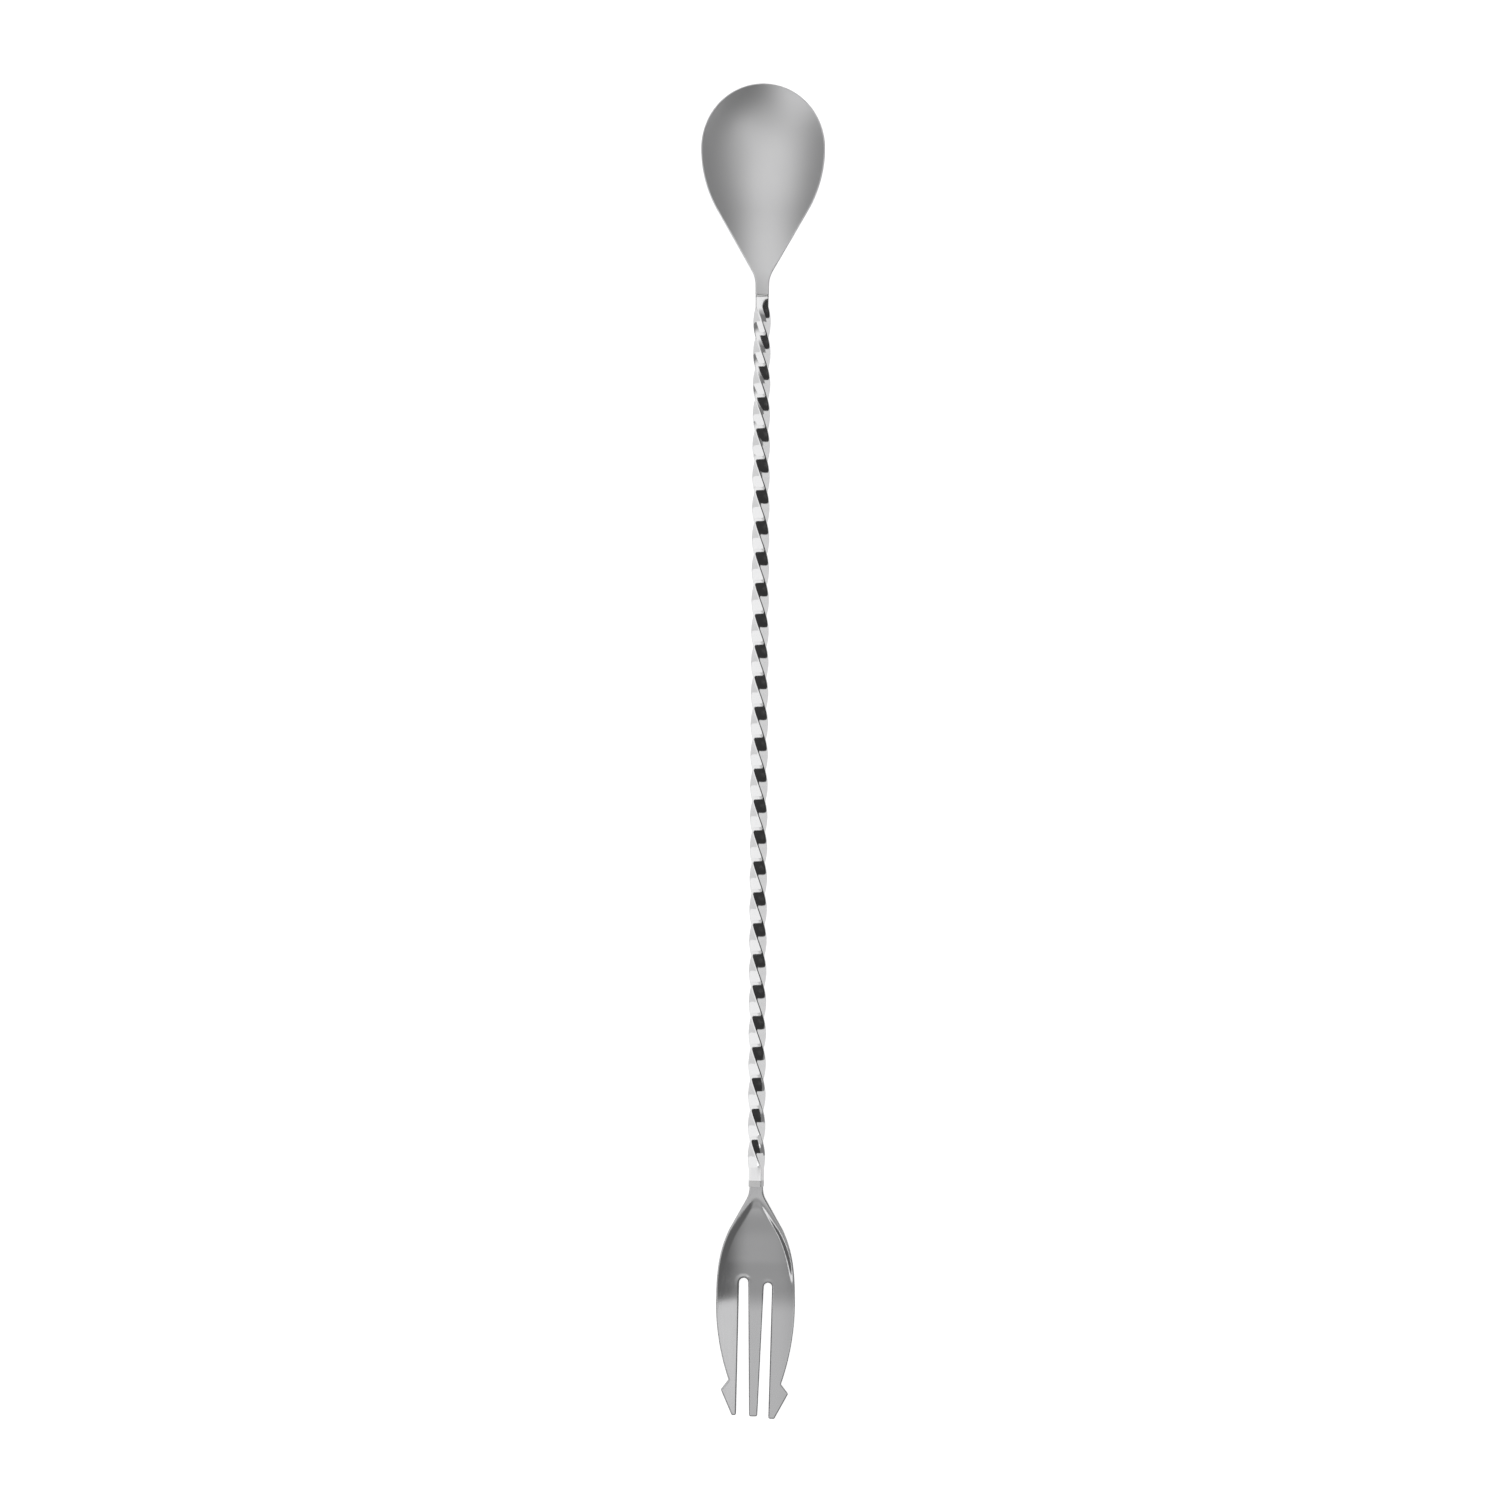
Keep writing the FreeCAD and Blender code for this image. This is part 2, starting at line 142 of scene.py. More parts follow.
# grain, hairline scratches and finger haze, as roughness, shade and height
def makeFinishGroup():
    group = bpy.data.node_groups.new("steelFinish", "ShaderNodeTree")
    addSocket(group, "Roughness", "NodeSocketFloat", "INPUT", 0.2)
    addSocket(group, "Grain Scale", "NodeSocketFloat", "INPUT", 4000.0)
    addSocket(group, "Grain Amount", "NodeSocketFloat", "INPUT", 0.1)
    addSocket(group, "Scratch Amount", "NodeSocketFloat", "INPUT", 0.1)
    addSocket(group, "Haze Amount", "NodeSocketFloat", "INPUT", 0.05)
    addSocket(group, "Roughness", "NodeSocketFloat", "OUTPUT")
    addSocket(group, "Shade", "NodeSocketFloat", "OUTPUT")
    addSocket(group, "Height", "NodeSocketFloat", "OUTPUT")
    nodes = group.nodes
    links = group.links
    given = nodes.new("NodeGroupInput")
    out = nodes.new("NodeGroupOutput")
    coords = nodes.new("ShaderNodeTexCoord")

    def noise(vector, detail):
        texture = nodes.new("ShaderNodeTexNoise")
        texture.inputs["Detail"].default_value = detail
        links.new(vector, texture.inputs["Vector"])
        return texture

    def centred(texture, amount):
        lower = mathNode(group, "SUBTRACT", texture.outputs["Fac"], 0.5)
        return mathNode(group, "MULTIPLY", lower, given.outputs[amount])

    grain = noise(coords.outputs["Object"], finishMarks["grainDetail"])
    links.new(given.outputs["Grain Scale"], grain.inputs["Scale"])
    stretch = nodes.new("ShaderNodeMapping")
    stretch.inputs["Scale"].default_value = finishMarks["scratchStretch"]
    stretch.inputs["Rotation"].default_value = (0.0, 0.0, finishMarks["scratchTurn"])
    links.new(coords.outputs["Object"], stretch.inputs["Vector"])
    scratch = noise(stretch.outputs["Vector"], finishMarks["scratchDetail"])
    scratch.inputs["Scale"].default_value = finishMarks["scratchScale"]
    haze = noise(coords.outputs["Object"], finishMarks["hazeDetail"])
    haze.inputs["Scale"].default_value = finishMarks["hazeScale"]

    grainPart = centred(grain, "Grain Amount")
    scratchPart = centred(scratch, "Scratch Amount")
    hazePart = centred(haze, "Haze Amount")
    hazed = mathNode(group, "ADD", given.outputs["Roughness"], hazePart)
    links.new(mathNode(group, "ADD", hazed, scratchPart), out.inputs["Roughness"])
    links.new(mathNode(group, "ADD", grainPart, scratchPart), out.inputs["Height"])
    links.new(mathNode(group, "SUBTRACT", 1.0, hazePart), out.inputs["Shade"])
    return group


finishGroup = makeFinishGroup()


# bare steel with the shared marks
def makeSteel(name, look):
    material = bpy.data.materials.new(name)
    material.use_nodes = True
    nodes = material.node_tree.nodes
    links = material.node_tree.links
    shader = nodes["Principled BSDF"]
    shader.inputs["Metallic"].default_value = 1.0
    finish = nodes.new("ShaderNodeGroup")
    finish.node_tree = finishGroup
    finish.inputs["Roughness"].default_value = look["roughness"]
    finish.inputs["Grain Scale"].default_value = look["grainScale"]
    finish.inputs["Grain Amount"].default_value = look["grain"]
    finish.inputs["Scratch Amount"].default_value = look["scratches"]
    finish.inputs["Haze Amount"].default_value = look["haze"]
    tint = nodes.new("ShaderNodeMix")
    tint.data_type = "RGBA"
    tint.blend_type = "MULTIPLY"
    tint.inputs["Factor"].default_value = 1.0
    tint.inputs["A"].default_value = (*look["colour"], 1.0)
    links.new(finish.outputs["Shade"], tint.inputs["B"])
    links.new(tint.outputs["Result"], shader.inputs["Base Color"])
    links.new(finish.outputs["Roughness"], shader.inputs["Roughness"])
    bump = nodes.new("ShaderNodeBump")
    bump.inputs["Strength"].default_value = look["bump"]
    bump.inputs["Distance"].default_value = look["bumpDepth"]
    links.new(finish.outputs["Height"], bump.inputs["Height"])
    links.new(bump.outputs["Normal"], shader.inputs["Normal"])
    return material


satinSteel = makeSteel("satinSteel", {
    "colour": (0.72, 0.72, 0.725), "roughness": 0.45, "grainScale": 6000.0, "grain": 0.5,
    "scratches": 0.05, "haze": 0.05, "bump": 0.15, "bumpDepth": 0.00003,
})
mirrorSteel = makeSteel("mirrorSteel", {
    "colour": (0.84, 0.84, 0.845), "roughness": 0.09, "grainScale": 900.0, "grain": 0.1,
    "scratches": 0.04, "haze": 0.08, "bump": 0.05, "bumpDepth": 0.00005,
})
polishedSteel = makeSteel("polishedSteel", {
    "colour": (0.46, 0.46, 0.465), "roughness": 0.15, "grainScale": 2400.0, "grain": 0.15,
    "scratches": 0.10, "haze": 0.08, "bump": 0.08, "bumpDepth": 0.00004,
})
weldSteel = makeSteel("weldSteel", {
    "colour": (0.52, 0.52, 0.52), "roughness": 0.20, "grainScale": 2000.0, "grain": 0.3,
    "scratches": 0.15, "haze": 0.06, "bump": 0.12, "bumpDepth": 0.00004,
})
print("materials made")


bowl = {
    "front": 0.0146,           # tip back to the widest point
    "flankRadius": 0.0280,
    "neckShoulder": 0.00005,
    "neckFillet": 0.0065,
    "neckStraight": 0.00195,
    "wall": 0.0010,
    "edgeRadius": 0.00028,
    "keelLength": 0.0240,      # how far the bar thins away under the bowl
    "keelFlat": 0.6,           # share of the bar's half width that keeps its full depth
    "keelSpread": 0.9,         # bar widths over which the keel fades sideways
    "keelWhole": 0.8,          # share of the keel after which the whole neck thickens
    "rowsAlong": 150,
    "rowsAcross": 72,
}


def bowlSide():
    half = (bowlHigh[0] - bowlLow[0]) / 2
    front = bowl["front"]
    neck = bar["side"] / 2 + bowl["neckShoulder"]
    end = bowlHigh[1] - bowlLow[1] - bowl["neckStraight"]
    flank = bowl["flankRadius"]
    both = flank + bowl["neckFillet"]
    inward = half - neck
    along = end - front
    straight = math.sqrt((both - inward) ** 2 + along ** 2 - both ** 2)
    taper = math.atan2(along, both - inward) - math.atan2(straight, both)
    return half, neck, end, taper


bowlHalf, bowlNeckHalf, bowlNeckStart, bowlTaper = bowlSide()


def bowlHalfWidth(back):
    front = bowl["front"]
    flank = bowl["flankRadius"]
    fillet = bowl["neckFillet"]
    flankEnd = front + flank * math.sin(bowlTaper)
    if back < front:
        return bowlHalf * math.sqrt(max(0.0, 1 - ((front - back) / front) ** 2))
    if back < flankEnd:
        return bowlHalf - flank + math.sqrt(flank ** 2 - (back - front) ** 2)
    if back < bowlNeckStart - fillet * math.sin(bowlTaper):
        return bowlHalf - flank * (1 - math.cos(bowlTaper)) - (back - flankEnd) * math.tan(bowlTaper)
    if back < bowlNeckStart:
        return bowlNeckHalf + fillet - math.sqrt(fillet ** 2 - (bowlNeckStart - back) ** 2)
    return bowlNeckHalf


# a grid bent to the hollow, a second face under it for the wall, rounded at the rim
def makeBowl():
    bm = bmesh.new()
    bmesh.ops.create_grid(bm, x_segments=bowl["rowsAcross"], y_segments=bowl["rowsAlong"], size=1.0)
    upper = list(bm.verts)
    made = bmesh.ops.extrude_face_region(bm, geom=list(bm.faces), use_keep_orig=True)
    lower = madeVerts(made)
    length = bowlHigh[1] - bowlLow[1]
    hollowDepth = bowlHigh[2] - bowlLow[2] - bowl["wall"]
    raised = (bowlHalf ** 2 - hollowDepth ** 2) / (2 * hollowDepth)
    rimZ = bowlHigh[2]
    step = 0.00001             # for the slope of the outline

    def place(vert, side):
        back = length * ((1 - vert.co.y) / 2) ** 2
        half = bowlHalfWidth(back)
        x = half * math.sin(math.pi / 2 * vert.co.x)
        turn = math.sqrt(raised ** 2 + half ** 2)
        inside = rimZ + raised - math.sqrt(turn ** 2 - x ** 2)
        slopeAcross = x / math.sqrt(turn ** 2 - x ** 2)
        slopeBack = half * (bowlHalfWidth(back + step) - bowlHalfWidth(max(0.0, back - step))) / (2 * step)
        slopeAlong = slopeBack / math.sqrt(turn ** 2 - x ** 2)
        steep = math.sqrt(1 + slopeAcross ** 2 + slopeAlong ** 2)
        distance = (half ** 2 - x ** 2) / (2 * math.sqrt(slopeBack ** 2 + x ** 2) + 1e-9)
        keelFade = smoothStep((back - (length - bowl["keelLength"])) / bowl["keelLength"])
        keelFlat = bowl["keelFlat"] * bar["side"] / 2
        keelShape = 1 - smoothStep((abs(x) - keelFlat) / (bowl["keelSpread"] * bar["side"]))
        neckShape = smoothStep((keelFade - bowl["keelWhole"]) / (1 - bowl["keelWhole"]))
        wall = bowl["wall"] * steep
        thick = wall + (bar["side"] - wall) * max(keelFade * keelShape, neckShape)
        rounding = edgeRound(distance, bowl["edgeRadius"])
        middle = bowl["wall"] / 2 * steep
        if side > 0:
            z = inside - middle * (1 - rounding)
        else:
            z = inside - middle - (thick - middle) * rounding
        vert.co = Vector((x, bowlHigh[1] - back, z))

    for vert in upper:
        place(vert, 1)
    for vert in lower:
        place(vert, -1)
    bmesh.ops.remove_doubles(bm, verts=bm.verts, dist=1e-7)
    bmesh.ops.recalc_face_normals(bm, faces=bm.faces)
    return makeObject(bm, "spoonBowl", satinSteel)


spoonBowl = makeBowl()
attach(spoonBowl, "root")
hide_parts("spoon_bowl")
print("bowl made")


# the bar's section across the spoon at y, a rounded square as one face
def barRing(bm, y):
    made = bmesh.ops.create_grid(bm, x_segments=1, y_segments=1, size=bar["side"] / 2)
    bmesh.ops.rotate(bm, verts=made["verts"], matrix=Matrix.Rotation(math.pi / 2, 3, "X"))
    bmesh.ops.translate(bm, verts=made["verts"], vec=(0, y, barMiddleZ))
    bmesh.ops.bevel(bm, geom=made["verts"], offset=bar["corner"], offset_type="OFFSET",
                    segments=bar["cornerSteps"], profile=0.5, affect="VERTICES", material=-1)
    straight = [edge for edge in bm.edges if edge.calc_length() > bar["side"] / 2]
    bmesh.ops.subdivide_edges(bm, edges=straight, cuts=bar["faceSteps"] - 1)
    return list(bm.faces)[0]


stem = {
    "bowlEndStraight": 0.0021,
    "forkEndStraight": 0.0028,
    "quarterTurns": 27.86,     # the bar ends short of a whole turn at the fork
    "stepsPerQuarter": 20,
}


# the square bar: straight, just under seven left-hand turns, straight again
def makeStem():
    bm = bmesh.new()
    face = barRing(bm, stemHigh[1])
    edges = list(face.edges)
    bmesh.ops.reverse_faces(bm, faces=[face])
    made = bmesh.ops.extrude_edge_only(bm, edges=edges)
    ring = madeVerts(made)
    bmesh.ops.translate(bm, verts=ring, vec=(0, -stem["bowlEndStraight"], 0))
    edges = farEdges(made, ring)
    twistLength = stemHigh[1] - stemLow[1] - stem["bowlEndStraight"] - stem["forkEndStraight"]
    steps = round(stem["quarterTurns"] * stem["stepsPerQuarter"])
    spun = bmesh.ops.spin(bm, geom=edges, cent=(0, 0, barMiddleZ), axis=(0, 1, 0),
                          dvec=(0, -twistLength / steps, 0), angle=math.pi / 2 * stem["quarterTurns"],
                          steps=steps, use_merge=False, use_duplicate=False)
    last = [item for item in spun["geom_last"] if isinstance(item, bmesh.types.BMEdge)]
    ring = madeVerts(bmesh.ops.extrude_edge_only(bm, edges=last))
    bmesh.ops.translate(bm, verts=ring, vec=(0, -stem["forkEndStraight"], 0))
    bmesh.ops.holes_fill(bm, edges=[edge for edge in bm.edges if edge.is_boundary], sides=0)
    bmesh.ops.recalc_face_normals(bm, faces=bm.faces)
    return makeObject(bm, "twistedStem", mirrorSteel)


twistedStem = makeStem()
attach(twistedStem, "root")
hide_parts("twisted_stem")
print("stem made")

weld = {
    "rings": 8,
    "wobble": 0.00001,         # how uneven the ground bead is
    "waves": 3,                # low places around the bar
    "drift": 9,                # how far they turn along the weld, in radians
}


# a slice of weld metal, ground flush but a little uneven, turned with the bar
def makeWeld(name, node, turn):
    low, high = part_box(node)
    bm = bmesh.new()
    barRing(bm, high[1])
    top = list(bm.edges)
    count = weld["rings"]
    for index in range(count):
        made = bmesh.ops.extrude_edge_only(bm, edges=top)
        ring = madeVerts(made)
        top = farEdges(made, ring)
        bmesh.ops.translate(bm, verts=ring, vec=(0, -(high[1] - low[1]) / count, 0))
    for vert in bm.verts:
        share = (high[1] - vert.co.y) / (high[1] - low[1])
        angle = math.atan2(vert.co.x, vert.co.z - barMiddleZ)
        wave = math.sin(weld["waves"] * angle + weld["drift"] * share)
        bead = math.sin(math.pi * share) * (0.5 + 0.5 * wave)
        grow = 1 - weld["wobble"] * bead / (bar["side"] / 2)
        vert.co.x *= grow
        vert.co.z = barMiddleZ + (vert.co.z - barMiddleZ) * grow
    bmesh.ops.rotate(bm, verts=bm.verts, cent=(0, 0, barMiddleZ), matrix=Matrix.Rotation(turn, 3, "Y"))
    bmesh.ops.holes_fill(bm, edges=[edge for edge in bm.edges if edge.is_boundary], sides=0)
    bmesh.ops.recalc_face_normals(bm, faces=bm.faces)
    piece = makeObject(bm, name, weldSteel)
    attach(piece, "root")
    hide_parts(node)
    return piece


bowlWeld = makeWeld("bowlWeld", "bowl_weld", 0.0)
forkWeld = makeWeld("forkWeld", "fork_weld", math.pi / 2 * stem["quarterTurns"])
print("welds made")


fork = {
    "neckShoulder": 0.00005,
    "neckStraight": 0.0004,
    "neckFillet": 0.0050,
    "neckLevel": 0.0018,               # how far the upper face stays level with the bar
    "shoulderStart": (0.0028, 0.0097),     # each: in from the widest line, back from the neck
    "shoulderMiddle": (0.00115, 0.0142),
    "shoulderEnd": (0.00032, 0.0187),
    "widest": 0.0242,
    "swellInset": 0.25,                # the outline halfway to the widest, as a share of shoulderEnd
    "flankInset": 0.2,                 # the flank's middle point, as shares of the way to the notch
    "flankAlong": 0.52,
    "wall": 0.0016,
    "tipWall": 0.0012,
    "tipLift": 0.0009,
    "tipCorner": 0.00042,
    "middleTipBack": 0.0005,
    "belly": 0.0290,
    "dishRadius": 0.0300,
    "lipHeight": 0.00030,              # the turned-up border beside the shoulders
    "lipWidths": (0.0021, 0.0009),     # near the neck and at the widest place
    "lipFlat": 0.4,                    # share of its width before it falls away
    "lipZone": (0.0020, 0.0050, 0.0160, 0.0230),
    "edgeRadius": 0.00034,
    "edgeHeight": 0.00040,
    "edgeRings": 5,
    "gridStep": 0.0003,
    "gridOffset": 0.137,               # keeps the cuts off the outline's own points
    "sampleStep": 0.0001,
    "beyondNeck": 0.002,               # extra length, cut off once the edge is rounded
}
forkSteps = {"neck": 12, "shoulder": 24, "swell": 12, "flank": 40, "slot": 14, "corner": 4}
forkSides = {
    "left": {
        "side": -1, "slotTop": 0.0207, "topMiddle": 0.00268, "topWidth": 0.00205,
        "mouthMiddle": 0.00275, "mouthWidth": 0.0029, "tipBack": 0.0008, "tipWidth": 0.0010,
        "barbBack": 0.0066, "barbHalf": 0.0077, "notchBack": 0.0088, "notchHalf": 0.00595,
    },
    "right": {
        "side": 1, "slotTop": 0.0218, "topMiddle": 0.00277, "topWidth": 0.00185,
        "mouthMiddle": 0.0018, "mouthWidth": 0.00247, "tipBack": 0.0, "tipWidth": 0.00135,
        "barbBack": 0.0057, "barbHalf": 0.0075, "notchBack": 0.0078, "notchHalf": 0.00585,
    },
}


# points on the circle through three points, from start to end
def arcThrough(start, middle, end, steps):
    ax, ay = start
    bx, by = middle
    cx, cy = end
    area = 2 * (ax * (by - cy) + bx * (cy - ay) + cx * (ay - by))
    first = ax ** 2 + ay ** 2
    second = bx ** 2 + by ** 2
    third = cx ** 2 + cy ** 2
    ux = (first * (by - cy) + second * (cy - ay) + third * (ay - by)) / area
    uy = (first * (cx - bx) + second * (ax - cx) + third * (bx - ax)) / area
    radius = math.hypot(ax - ux, ay - uy)
    begin = math.atan2(ay - uy, ax - ux)
    through = (math.atan2(by - uy, bx - ux) - begin) % (2 * math.pi)
    sweep = (math.atan2(cy - uy, cx - ux) - begin) % (2 * math.pi)
    if through > sweep:
        sweep -= 2 * math.pi
    angles = [begin + sweep * index / steps for index in range(steps + 1)]
    return [(ux + radius * math.cos(angle), uy + radius * math.sin(angle)) for angle in angles]


# a corner replaced by a small arc
def roundCorner(before, corner, after, radius):
    place = Vector(corner)
    back = (Vector(before) - place).normalized()
    ahead = (Vector(after) - place).normalized()
    half = back.angle(ahead) / 2
    inward = (back + ahead).normalized()
    reach = radius / math.tan(half)
    middle = place + inward * (radius / math.sin(half) - radius)
    return arcThrough(place + back * reach, middle, place + ahead * reach, forkSteps["corner"])


# one half of the fork's outline, from beyond the neck's end round to the middle tine's corner
def forkSideLine(part):
    top = forkHigh[1]
    end = forkLow[1]
    half = (forkHigh[0] - forkLow[0]) / 2
    neck = bar["side"] / 2 + fork["neckShoulder"]
    fillet = fork["neckFillet"]
    startY = top - fork["neckStraight"]
    marks = [fork["shoulderStart"], fork["shoulderMiddle"], fork["shoulderEnd"]]
    first, second, third = [(half - inset, top - back) for inset, back in marks]
    widest = (half, top - fork["widest"])
    swell = (half - fork["swellInset"] * fork["shoulderEnd"][0], (third[1] + widest[1]) / 2)
    across = neck + fillet - first[0]
    along = startY - first[1]
    reach = math.hypot(across, along)
    taper = math.atan2(along, across) - math.atan2(math.sqrt(reach ** 2 - fillet ** 2), fillet)

    def onFillet(angle):
        return (neck + fillet - fillet * math.cos(angle), startY - fillet * math.sin(angle))

    notch = (part["notchHalf"], end + part["notchBack"])
    flank = (half - fork["flankInset"] * (half - notch[0]),
             widest[1] - fork["flankAlong"] * (widest[1] - notch[1]))
    barb = (part["barbHalf"], end + part["barbBack"])
    mouth = part["mouthMiddle"] + part["mouthWidth"] / 2
    tipY = end + part["tipBack"]
    tip = (mouth + part["tipWidth"], tipY)
    radius = part["topWidth"] / 2
    crownY = top - part["slotTop"]
    outerTop = (part["topMiddle"] + radius, crownY - radius)
    innerTop = (part["topMiddle"] - radius, crownY - radius)
    inner = (part["mouthMiddle"] - part["mouthWidth"] / 2, end + fork["middleTipBack"])
    corner = fork["tipCorner"]
    line = [(neck, top + fork["beyondNeck"])]
    line += arcThrough((neck, startY), onFillet(taper / 2), onFillet(taper), forkSteps["neck"])
    line += arcThrough(first, second, third, forkSteps["shoulder"])
    line += arcThrough(third, swell, widest, forkSteps["swell"])[1:]
    line += arcThrough(widest, flank, notch, forkSteps["flank"])[1:]
    line += roundCorner(notch, barb, tip, corner)
    line += roundCorner(barb, tip, (mouth, tipY), corner)
    line += roundCorner(tip, (mouth, tipY), outerTop, corner)
    line += arcThrough(outerTop, (part["topMiddle"], crownY), innerTop, forkSteps["slot"])
    line += roundCorner(innerTop, inner, (0, inner[1]), corner)
    return [(part["side"] * x, y) for x, y in line]


# closely spaced places along an open line
def spreadAlong(points, step):
    result = []
    for start, end in zip(points, points[1:]):
        parts = max(1, round(math.dist(start, end) / step))
        for index in range(parts):
            result.append(Vector((*start, 0)).lerp(Vector((*end, 0)), index / parts))
    return result


# height of the fork's upper face and its thickness, at a distance in from the outline
def forkHeight(x, y, inFromEdge):
    back = forkHigh[1] - y
    level = fork["neckLevel"]
    belly = fork["belly"]
    wall = fork["wall"]
    length = forkHigh[1] - forkLow[1]
    if back < level:
        z = bar["rimHeight"]
        thick = bar["side"]
    elif back < belly:
        share = (1 + math.cos(math.pi * (back - level) / (belly - level))) / 2
        z = wall + (bar["rimHeight"] - wall) * share
        thick = wall + (bar["side"] - wall) * share
    else:
        share = ((back - belly) / (length - belly)) ** 2
        thick = wall + (fork["tipWall"] - wall) * share
        z = fork["tipLift"] * share + thick
    radius = wall + fork["dishRadius"] - z
    z += radius - math.sqrt(radius ** 2 - x ** 2)
    rise, risen, fall, fallen = fork["lipZone"]
    zone = smoothStep((back - rise) / (risen - rise)) * smoothStep((fallen - back) / (fallen - fall))
    near, far = fork["lipWidths"]
    width = near + (far - near) * smoothStep((back - rise) / (fallen - rise))
    flat = fork["lipFlat"] * width
    sunk = fork["lipHeight"] * zone * smoothStep((inFromEdge - flat) / (width - flat))
    return z - sunk, thick - sunk


# the fork's flat blank, rings along its edge, a cutting grid, then bent and thickened
def makeFork():
    left = forkSideLine(forkSides["left"])
    right = forkSideLine(forkSides["right"])
    bm = bmesh.new()
    outline = [bm.verts.new((x, y, 0)) for x, y in left + right[::-1]]
    blank = bm.faces.new(outline)
    blank.normal_update()
    if blank.normal.z < 0:
        blank.normal_flip()
    edgeLayer = bm.verts.layers.float.new("edgeDistance")
    blank = bm.faces[:][0]     # found again, because a new layer loses the old handle
    radius = fork["edgeRadius"]
    reached = 0.0
    for ring in range(1, fork["edgeRings"] + 1):
        target = radius * (1 - math.cos(math.pi / 2 * ring / fork["edgeRings"]))
        bmesh.ops.inset_region(bm, faces=[blank], thickness=target - reached, use_even_offset=True,
                               use_boundary=True)
        for vert in blank.verts:
            vert[edgeLayer] = target
        reached = target
    bmesh.ops.bisect_plane(bm, geom=bm.verts[:] + bm.edges[:] + bm.faces[:], dist=1e-7,
                           plane_co=(0, forkHigh[1], 0), plane_no=(0, 1, 0), clear_outer=True)
    for axis, normal in ((0, Vector((1, 0, 0))), (1, Vector((0, 1, 0)))):
        span = forkHigh[axis] - forkLow[axis]
        count = int(span / fork["gridStep"])
        for index in range(1, count):
            place = forkLow[axis] + span * (index + fork["gridOffset"]) / count
            bmesh.ops.bisect_plane(bm, geom=bm.verts[:] + bm.edges[:] + bm.faces[:], dist=1e-7,
                                   plane_co=normal * place, plane_no=normal)
    samples = spreadAlong(left, fork["sampleStep"]) + spreadAlong(right, fork["sampleStep"])
    tree = KDTree(len(samples))
    for index, place in enumerate(samples):
        tree.insert(place, index)
    tree.balance()
    made = bmesh.ops.extrude_face_region(bm, geom=bm.faces[:], use_keep_orig=True)
    lower = set(madeVerts(made))
    for vert in bm.verts:
        inFromEdge = tree.find(vert.co)[2]
        z, thick = forkHeight(vert.co.x, vert.co.y, inFromEdge)
        drop = fork["edgeHeight"] * (1 - edgeRound(vert[edgeLayer], radius))
        if vert in lower:
            vert.co.z = z - thick + drop
        else:
            vert.co.z = z - drop
    bmesh.ops.recalc_face_normals(bm, faces=bm.faces)
    openEdges = [edge for edge in bm.edges if len(edge.link_faces) != 2]
    print("fork faces", len(bm.faces), "open edges", len(openEdges))
    return makeObject(bm, "forkHead", polishedSteel)


forkHead = makeFork()
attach(forkHead, "root")
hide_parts("fork_head")
print("fork made")


studio = {
    "frameWidth": 1.1215,      # picture width over the spoon's length
    "aimX": -0.00685,          # picture centre, in spoon lengths from the stem
    "aimY": 0.0013,
    "roll": 0.38,              # degrees the spoon leans in the picture
    "distance": 1.6,
    "sensorWidth": 36.0,
    "clipEnd": 20.0,
    "floorSize": 6.0,
    "floorColour": (0.93, 0.93, 0.93, 1.0),
    "floorRoughness": 0.9,
    "floorGlow": 0.25,
    "floorGlowInPicture": 0.75,
}
surround = {
    "overhead": 0.97,          # brightness straight above
    "darkest": 0.22,
    "fades": [                 # each: axis, where it starts, where it ends, how much darker
        ("Y", -0.10, -0.38, 0.38),       # towards the fork's end
        ("Y", -0.44, -0.50, -0.114),     # a little lighter again beyond
        ("X", 0.10, 0.50, 0.45),         # right
        ("X", 0.75, 1.00, -0.225),       # lighter again far right
        ("X", -0.30, -0.80, 0.30),       # left
        ("Z", 0.85, 0.35, 0.60),         # low down
    ],
}
cards = {                      # each: low corner, high corner, brightness
    "darkAbove": ((-0.010, -0.098, 0.054), (0.110, 0.103, 0.054), 0.035),
    "paleLeft": ((-0.060, -0.130, 0.002), (-0.060, 0.104, 0.110), 1.00),
    "paleRight": ((0.115, -0.130, 0.002), (0.115, 0.104, 0.050), 0.75),
    "brightRight": ((0.250, -0.420, 1.000), (0.700, -0.120, 1.000), 1.25),
    "brightLeft": ((-0.190, -0.260, 0.150), (-0.110, -0.150, 0.150), 1.70),
}


# a dull surface that gives off white light
def makeGlowing(name, colour, roughness):
    material = bpy.data.materials.new(name)
    material.use_nodes = True
    shader = material.node_tree.nodes["Principled BSDF"]
    shader.inputs["Base Color"].default_value = colour
    shader.inputs["Roughness"].default_value = roughness
    shader.inputs["Specular IOR Level"].default_value = 0.0
    shader.inputs["Emission Color"].default_value = (1.0, 1.0, 1.0, 1.0)
    return material, shader


def makeFloor():
    bm = bmesh.new()
    bmesh.ops.create_grid(bm, x_segments=1, y_segments=1, size=studio["floorSize"] / 2)
    material, shader = makeGlowing("palePaper", studio["floorColour"], studio["floorRoughness"])
    nodes = material.node_tree.nodes
    links = material.node_tree.links
    path = nodes.new("ShaderNodeLightPath")
    glow = nodes.new("ShaderNodeMapRange")
    glow.inputs["To Min"].default_value = studio["floorGlow"]
    glow.inputs["To Max"].default_value = studio["floorGlowInPicture"]
    links.new(path.outputs["Is Camera Ray"], glow.inputs["Value"])
    links.new(glow.outputs["Result"], shader.inputs["Emission Strength"])
    makeObject(bm, "floor", material)


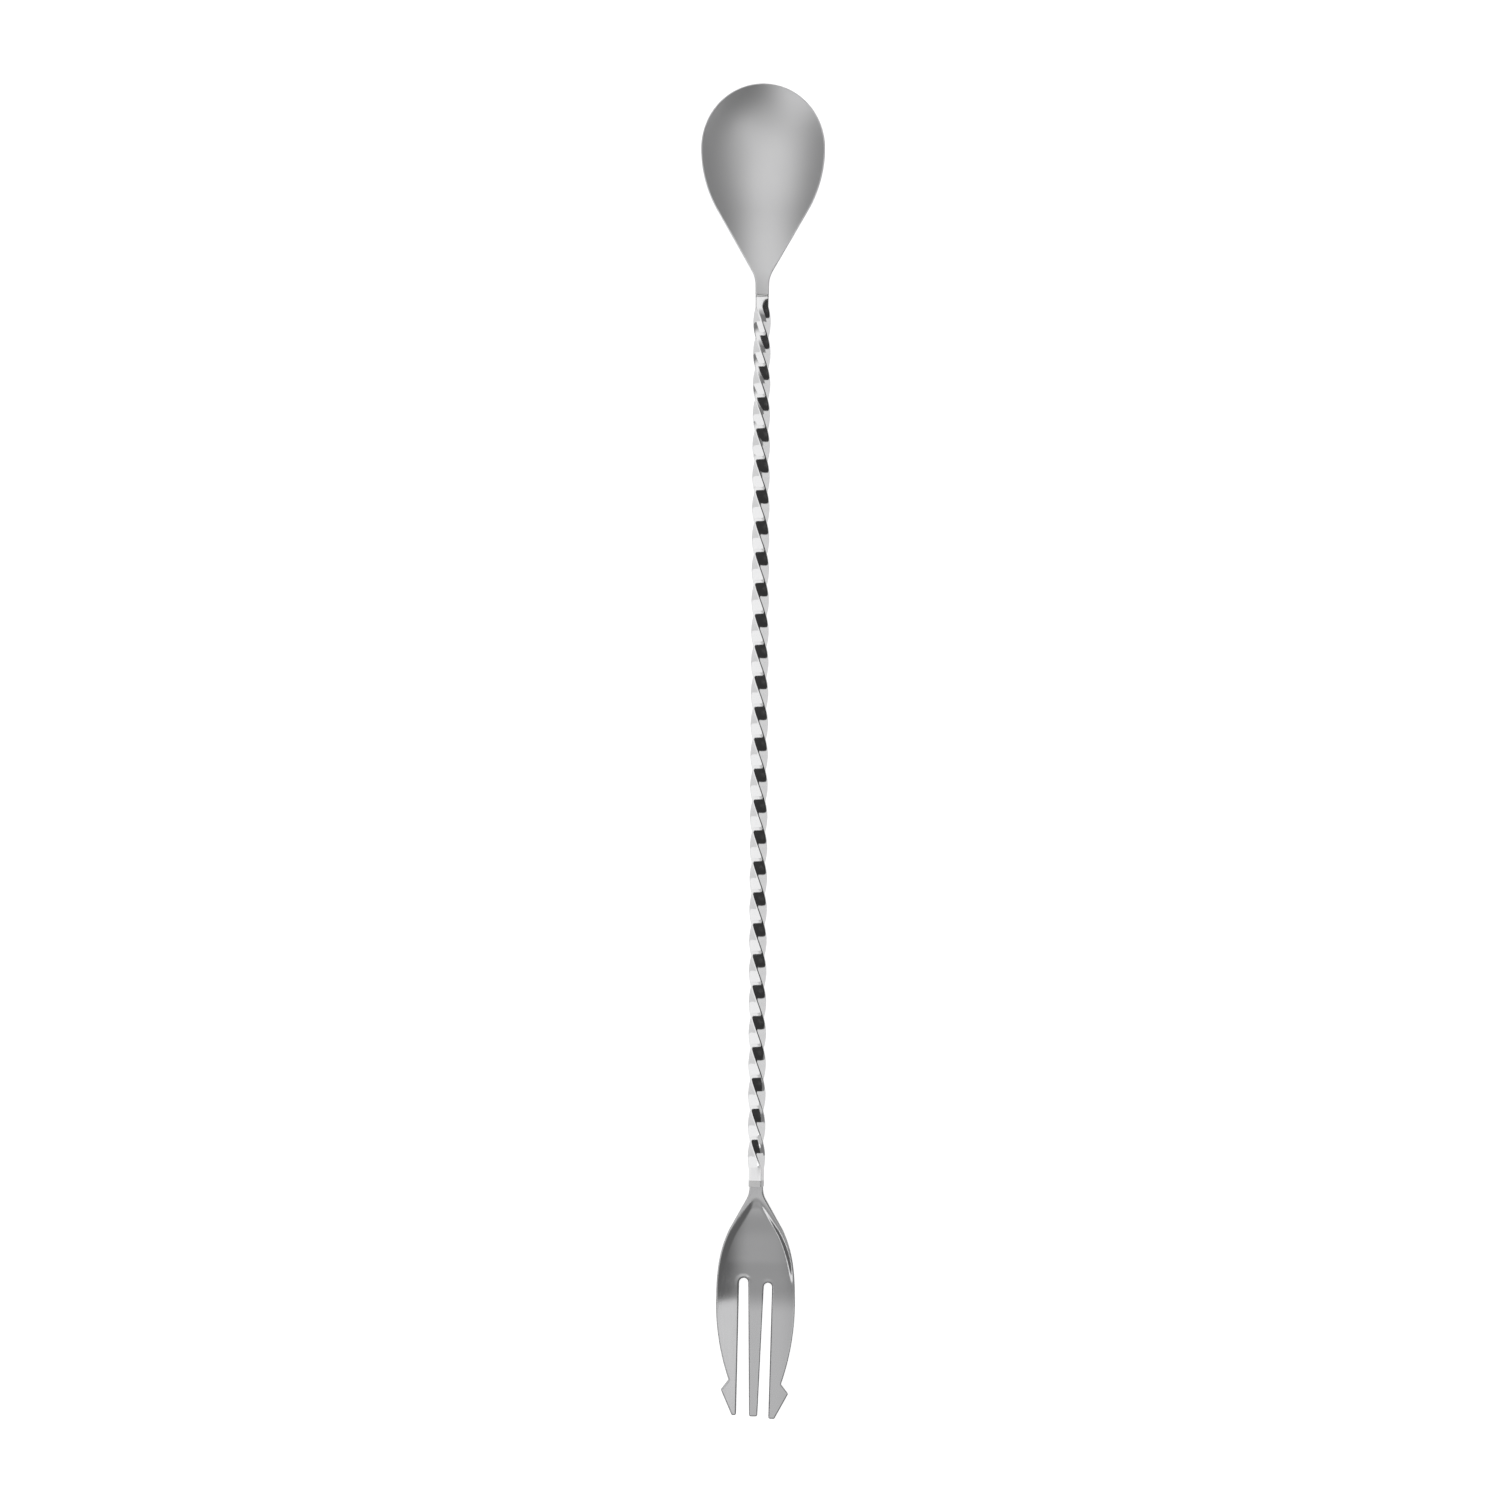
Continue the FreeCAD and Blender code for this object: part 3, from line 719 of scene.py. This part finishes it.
# a soft surround: bright overhead, darker to the front, to both sides and low down
def makeWorld():
    world = bpy.data.worlds.new("studio")
    bpy.context.scene.world = world
    world.use_nodes = True
    nodes = world.node_tree.nodes
    links = world.node_tree.links
    coords = nodes.new("ShaderNodeTexCoord")
    split = nodes.new("ShaderNodeSeparateXYZ")
    links.new(coords.outputs["Generated"], split.inputs["Vector"])
    level = surround["overhead"]
    for axis, start, end, amount in surround["fades"]:
        ramp = nodes.new("ShaderNodeMapRange")
        ramp.interpolation_type = "SMOOTHSTEP"
        ramp.inputs["From Min"].default_value = start
        ramp.inputs["From Max"].default_value = end
        ramp.inputs["To Min"].default_value = 0.0
        ramp.inputs["To Max"].default_value = amount
        links.new(split.outputs[axis], ramp.inputs["Value"])
        level = mathNode(world.node_tree, "SUBTRACT", level, ramp.outputs["Result"])
    level = mathNode(world.node_tree, "MAXIMUM", level, surround["darkest"])
    path = nodes.new("ShaderNodeLightPath")
    plain = nodes.new("ShaderNodeMix")
    plain.inputs["B"].default_value = surround["overhead"]
    links.new(path.outputs["Is Camera Ray"], plain.inputs["Factor"])
    links.new(level, plain.inputs["A"])
    links.new(plain.outputs["Result"], nodes["Background"].inputs["Color"])


# a flat card, level or facing along the X axis, that shows in the metal but not to the camera
def makeCard(name, low, high, brightness):
    size = [end - start for start, end in zip(low, high)]
    upright = size[0] == 0
    bm = bmesh.new()
    made = bmesh.ops.create_grid(bm, x_segments=1, y_segments=1, size=0.5)
    bmesh.ops.scale(bm, verts=made["verts"], vec=(size[2] if upright else size[0], size[1], 1))
    if upright:
        bmesh.ops.rotate(bm, verts=made["verts"], matrix=Matrix.Rotation(math.pi / 2, 3, "Y"))
    middle = [(start + end) / 2 for start, end in zip(low, high)]
    bmesh.ops.translate(bm, verts=made["verts"], vec=middle)
    material, shader = makeGlowing(name, (0.0, 0.0, 0.0, 1.0), 1.0)
    shader.inputs["Emission Strength"].default_value = brightness
    card = makeObject(bm, name, material)
    card.visible_camera = False
    card.visible_diffuse = False
    card.visible_shadow = False


def makeCamera():
    camera = bpy.data.cameras.new("camera")
    camera.sensor_width = studio["sensorWidth"]
    reach = studio["distance"] - bar["rimHeight"]
    camera.lens = studio["sensorWidth"] * reach / (wholeLength * studio["frameWidth"])
    camera.clip_end = studio["clipEnd"]
    holder = bpy.data.objects.new("camera", camera)
    bpy.context.scene.collection.objects.link(holder)
    middleY = (cadBox[0][1] + cadBox[1][1]) / 2
    holder.location = (studio["aimX"] * wholeLength, middleY + studio["aimY"] * wholeLength,
                       studio["distance"])
    holder.rotation_euler = (0, 0, math.radians(studio["roll"]))
    bpy.context.scene.camera = holder


makeFloor()
makeWorld()
for name, (low, high, brightness) in cards.items():
    makeCard(name, low, high, brightness)
makeCamera()
bpy.context.scene.view_settings.view_transform = "Standard"
print("studio made")
